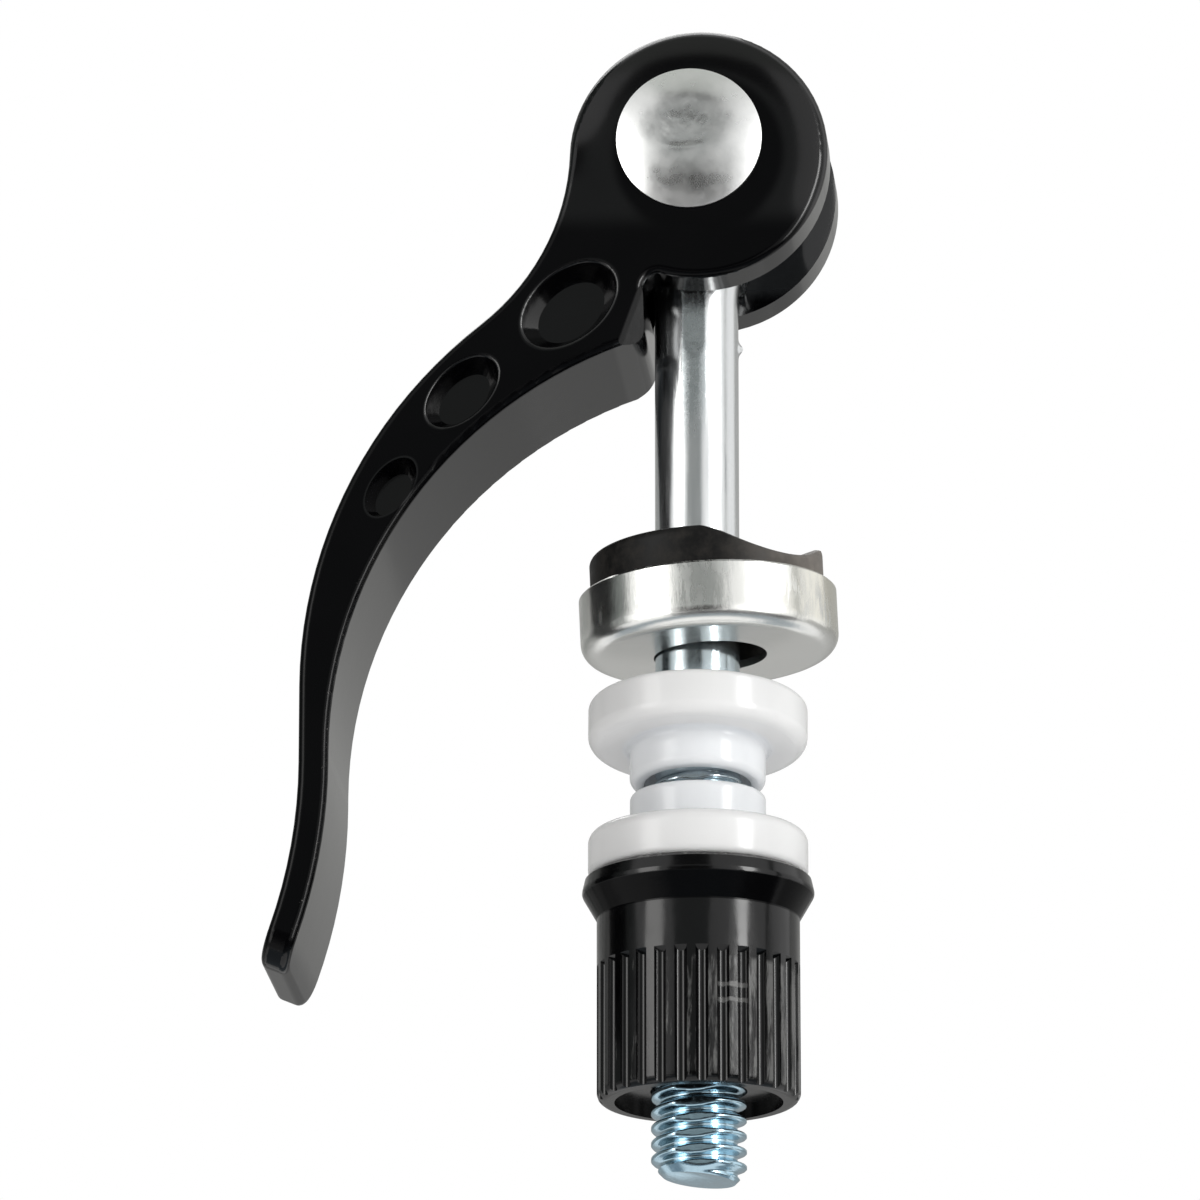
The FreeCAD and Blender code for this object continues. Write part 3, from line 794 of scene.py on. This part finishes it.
def pivot_rivet(finish):
    """The rivet, with both heads pressed by the riveting tool."""
    low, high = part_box("pivot_pin")
    built = bmesh.new()
    radius = (high.x - low.x) / 2
    height = (low.z + high.z) / 2
    half = high.y - PIN_HEAD_HEIGHT
    near = rivet_head(built, -1, low, high)
    far = rivet_head(built, 1, low, high)
    middle_rings = [
        ring_at(built, radius, -half, height),
        ring_at(built, PIN_RADIUS, -half, height),
        ring_at(built, PIN_RADIUS, half, height),
        ring_at(built, radius, half, height),
    ]
    chain = [near] + middle_rings + [far]
    for first, second in zip(chain, chain[1:]):
        join_rings(built, first, second)
    bmesh.ops.recalc_face_normals(built, faces=built.faces)
    piece = new_piece("pivot_rivet", built, "lever", finish)
    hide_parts("pivot_pin")
    return piece


# Studio

def from_camera(azimuth, elevation):
    """The direction from the object at these angles from the camera's own azimuth."""
    a = math.radians(VIEW_AZIMUTH + azimuth)
    e = math.radians(elevation)
    return Vector((math.sin(a) * math.cos(e), -math.cos(a) * math.cos(e), math.sin(e)))


def light_panel(name, azimuth, elevation, width, height, power, colour):
    """A soft box that faces the object."""
    lamp = bpy.data.lights.new(name, "AREA")
    lamp.shape = "RECTANGLE"
    lamp.size = width
    lamp.size_y = height
    lamp.energy = power
    lamp.color = colour
    panel = bpy.data.objects.new(name, lamp)
    bpy.context.scene.collection.objects.link(panel)
    back = from_camera(azimuth, elevation)
    panel.location = STUDIO_CENTRE + back * PANEL_RADIUS
    panel.rotation_euler = back.to_track_quat("Z", "Y").to_euler()


def flag(name, azimuths, elevations, radius, colour):
    """A dark card on a sphere about the object, which only reflections see."""
    built = bmesh.new()
    grid = []
    for i in range(FLAG_STEPS + 1):
        azimuth = azimuths[0] + (azimuths[1] - azimuths[0]) * i / FLAG_STEPS
        column = []
        for j in range(FLAG_STEPS + 1):
            elevation = elevations[0] + (elevations[1] - elevations[0]) * j / FLAG_STEPS
            column.append(built.verts.new(STUDIO_CENTRE + from_camera(azimuth, elevation) * radius))
        grid.append(column)
    for i in range(FLAG_STEPS):
        for j in range(FLAG_STEPS):
            built.faces.new((grid[i][j], grid[i + 1][j], grid[i + 1][j + 1], grid[i][j + 1]))
    mesh = bpy.data.meshes.new(name)
    built.to_mesh(mesh)
    built.free()
    mesh.materials.append(glow(name, colour))
    card = bpy.data.objects.new(name, mesh)
    bpy.context.scene.collection.objects.link(card)
    card.visible_camera = False
    card.visible_diffuse = False
    card.visible_shadow = False
    card.visible_transmission = False


def floor():
    """A plain square far below the object."""
    mesh = bpy.data.meshes.new("floor")
    half = FLOOR_SIZE / 2
    corners = [(-half, -half, FLOOR_HEIGHT), (half, -half, FLOOR_HEIGHT)]
    corners += [(half, half, FLOOR_HEIGHT), (-half, half, FLOOR_HEIGHT)]
    mesh.from_pydata(corners, [], [(0, 1, 2, 3)])
    mesh.materials.append(floor_paint())
    made = bpy.data.objects.new("floor", mesh)
    bpy.context.scene.collection.objects.link(made)


def white_world():
    """White to the camera and to mirrors, and a softer level for the light it sheds."""
    world = bpy.data.worlds.new("studio")
    bpy.context.scene.world = world
    world.use_nodes = True
    tree = world.node_tree
    back = tree.nodes["Background"]
    back.inputs["Color"].default_value = WHITE
    strength = ease(tree, seen_or_mirrored(tree), 0.0, 1.0, AMBIENT, 1.0)
    tree.links.new(strength, back.inputs["Strength"])


def camera():
    """The photograph's camera: the aim point shows at its own pixel."""
    back = from_camera(0, VIEW_ELEVATION)
    a = math.radians(VIEW_AZIMUTH)
    right = Vector((math.cos(a), math.sin(a), 0))
    up = back.cross(right)
    across = (AIM_PIXEL[0] - IMAGE_PIXELS / 2) / FOCAL_PIXELS
    rise = (IMAGE_PIXELS / 2 - AIM_PIXEL[1]) / FOCAL_PIXELS
    data = bpy.data.cameras.new("camera")
    data.sensor_width = SENSOR_WIDTH
    data.lens = FOCAL_PIXELS / IMAGE_PIXELS * SENSOR_WIDTH
    data.clip_start = CLIP_START
    made = bpy.data.objects.new("camera", data)
    bpy.context.scene.collection.objects.link(made)
    turned = Matrix((right, up, back)).transposed().to_4x4()
    turned.translation = AIM_POINT - VIEW_DISTANCE * (right * across + up * rise - back)
    made.matrix_world = turned
    bpy.context.scene.camera = made


def studio():
    """The floor, the backdrop, the lamps and the cards."""
    floor()
    white_world()
    for name, panel in PANELS.items():
        light_panel(name, *panel)
    for name, card in FLAGS.items():
        flag(name, *card)


def dress(node, finish):
    """Gives a solid piece its finish."""
    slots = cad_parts[node].data.materials
    slots.clear()
    slots.append(finish)


bpy.context.scene.view_settings.view_transform = "Standard"
studio()
camera()

bush_finish = nylon()
dress("lever", lever_paint())
dress("cam_saddle", saddle_plastic())
dress("cup_washer", cup_steel())
dress("upper_bushing", bush_finish)
dress("lower_bushing", bush_finish)
dress("adjusting_nut", nut_black())
skewer_rod(zinc())
pivot_rivet(rivet_steel())
